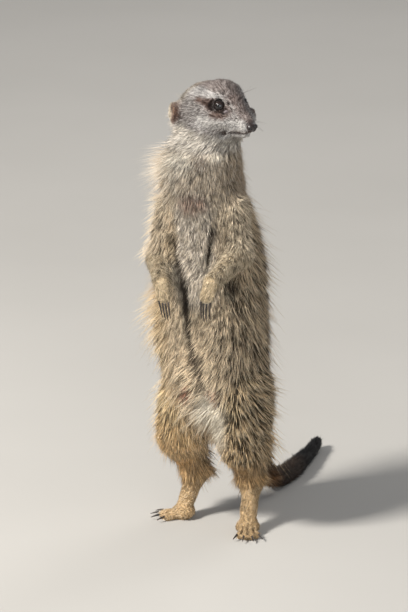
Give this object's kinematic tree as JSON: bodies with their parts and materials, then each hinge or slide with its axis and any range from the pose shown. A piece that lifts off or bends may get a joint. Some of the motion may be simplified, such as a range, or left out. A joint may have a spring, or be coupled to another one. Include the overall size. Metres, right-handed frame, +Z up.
{
  "type": "standing meerkat, museum-style life-size model",
  "caption": "Life-size still model of a meerkat standing upright on its hind feet, head turned, forearms hanging, tail on the floor.",
  "frame": {"origin": "on the floor, at the middle of the animal's outline seen from above", "axes": "+Z up; the chest faces -Y, the animal's left is +X, and the tail runs back along +Y"},
  "size_m": [0.0878, 0.2238, 0.3013],
  "materials": {
    "coat_grey": "short grizzled pale grey-beige fur",
    "coat_sand": "sandy fur with dark banded hairs",
    "coat_gold": "golden tan fur, long on the thighs",
    "coat_cream": "very short cream fur",
    "coat_dark": "short black-brown fur of the tail tip",
    "ear": "dark skin with very short hair",
    "nose": "moist dark skin",
    "eye": "dark brown, wet gloss",
    "claw": "dark horn, satin"
  },
  "bodies": {
    "root": {"head": "coat_grey", "neck": "coat_grey", "trunk": "coat_sand", "nose": "nose", "tail_base": "coat_gold", "tail_middle": "coat_sand", "tail_tip": "coat_dark", "eye_left": "eye", "eye_right": "eye", "ear_left": "ear", "ear_right": "ear", "upper_arm_left": "coat_sand", "upper_arm_right": "coat_sand", "forearm_left": "coat_cream", "forearm_right": "coat_cream", "hand_left": "coat_cream", "hand_right": "coat_cream", "thigh_left": "coat_gold", "thigh_right": "coat_gold", "shank_left": "coat_gold", "shank_right": "coat_gold", "foot_left": "coat_cream", "foot_right": "coat_cream", "claw_fore_left_1": "claw", "claw_fore_left_2": "claw", "claw_fore_left_3": "claw", "claw_fore_left_4": "claw", "claw_fore_right_1": "claw", "claw_fore_right_2": "claw", "claw_fore_right_3": "claw", "claw_fore_right_4": "claw", "claw_hind_left_1": "claw", "claw_hind_left_2": "claw", "claw_hind_left_3": "claw", "claw_hind_left_4": "claw", "claw_hind_right_1": "claw", "claw_hind_right_2": "claw", "claw_hind_right_3": "claw", "claw_hind_right_4": "claw"}
  },
  "joints": []
}
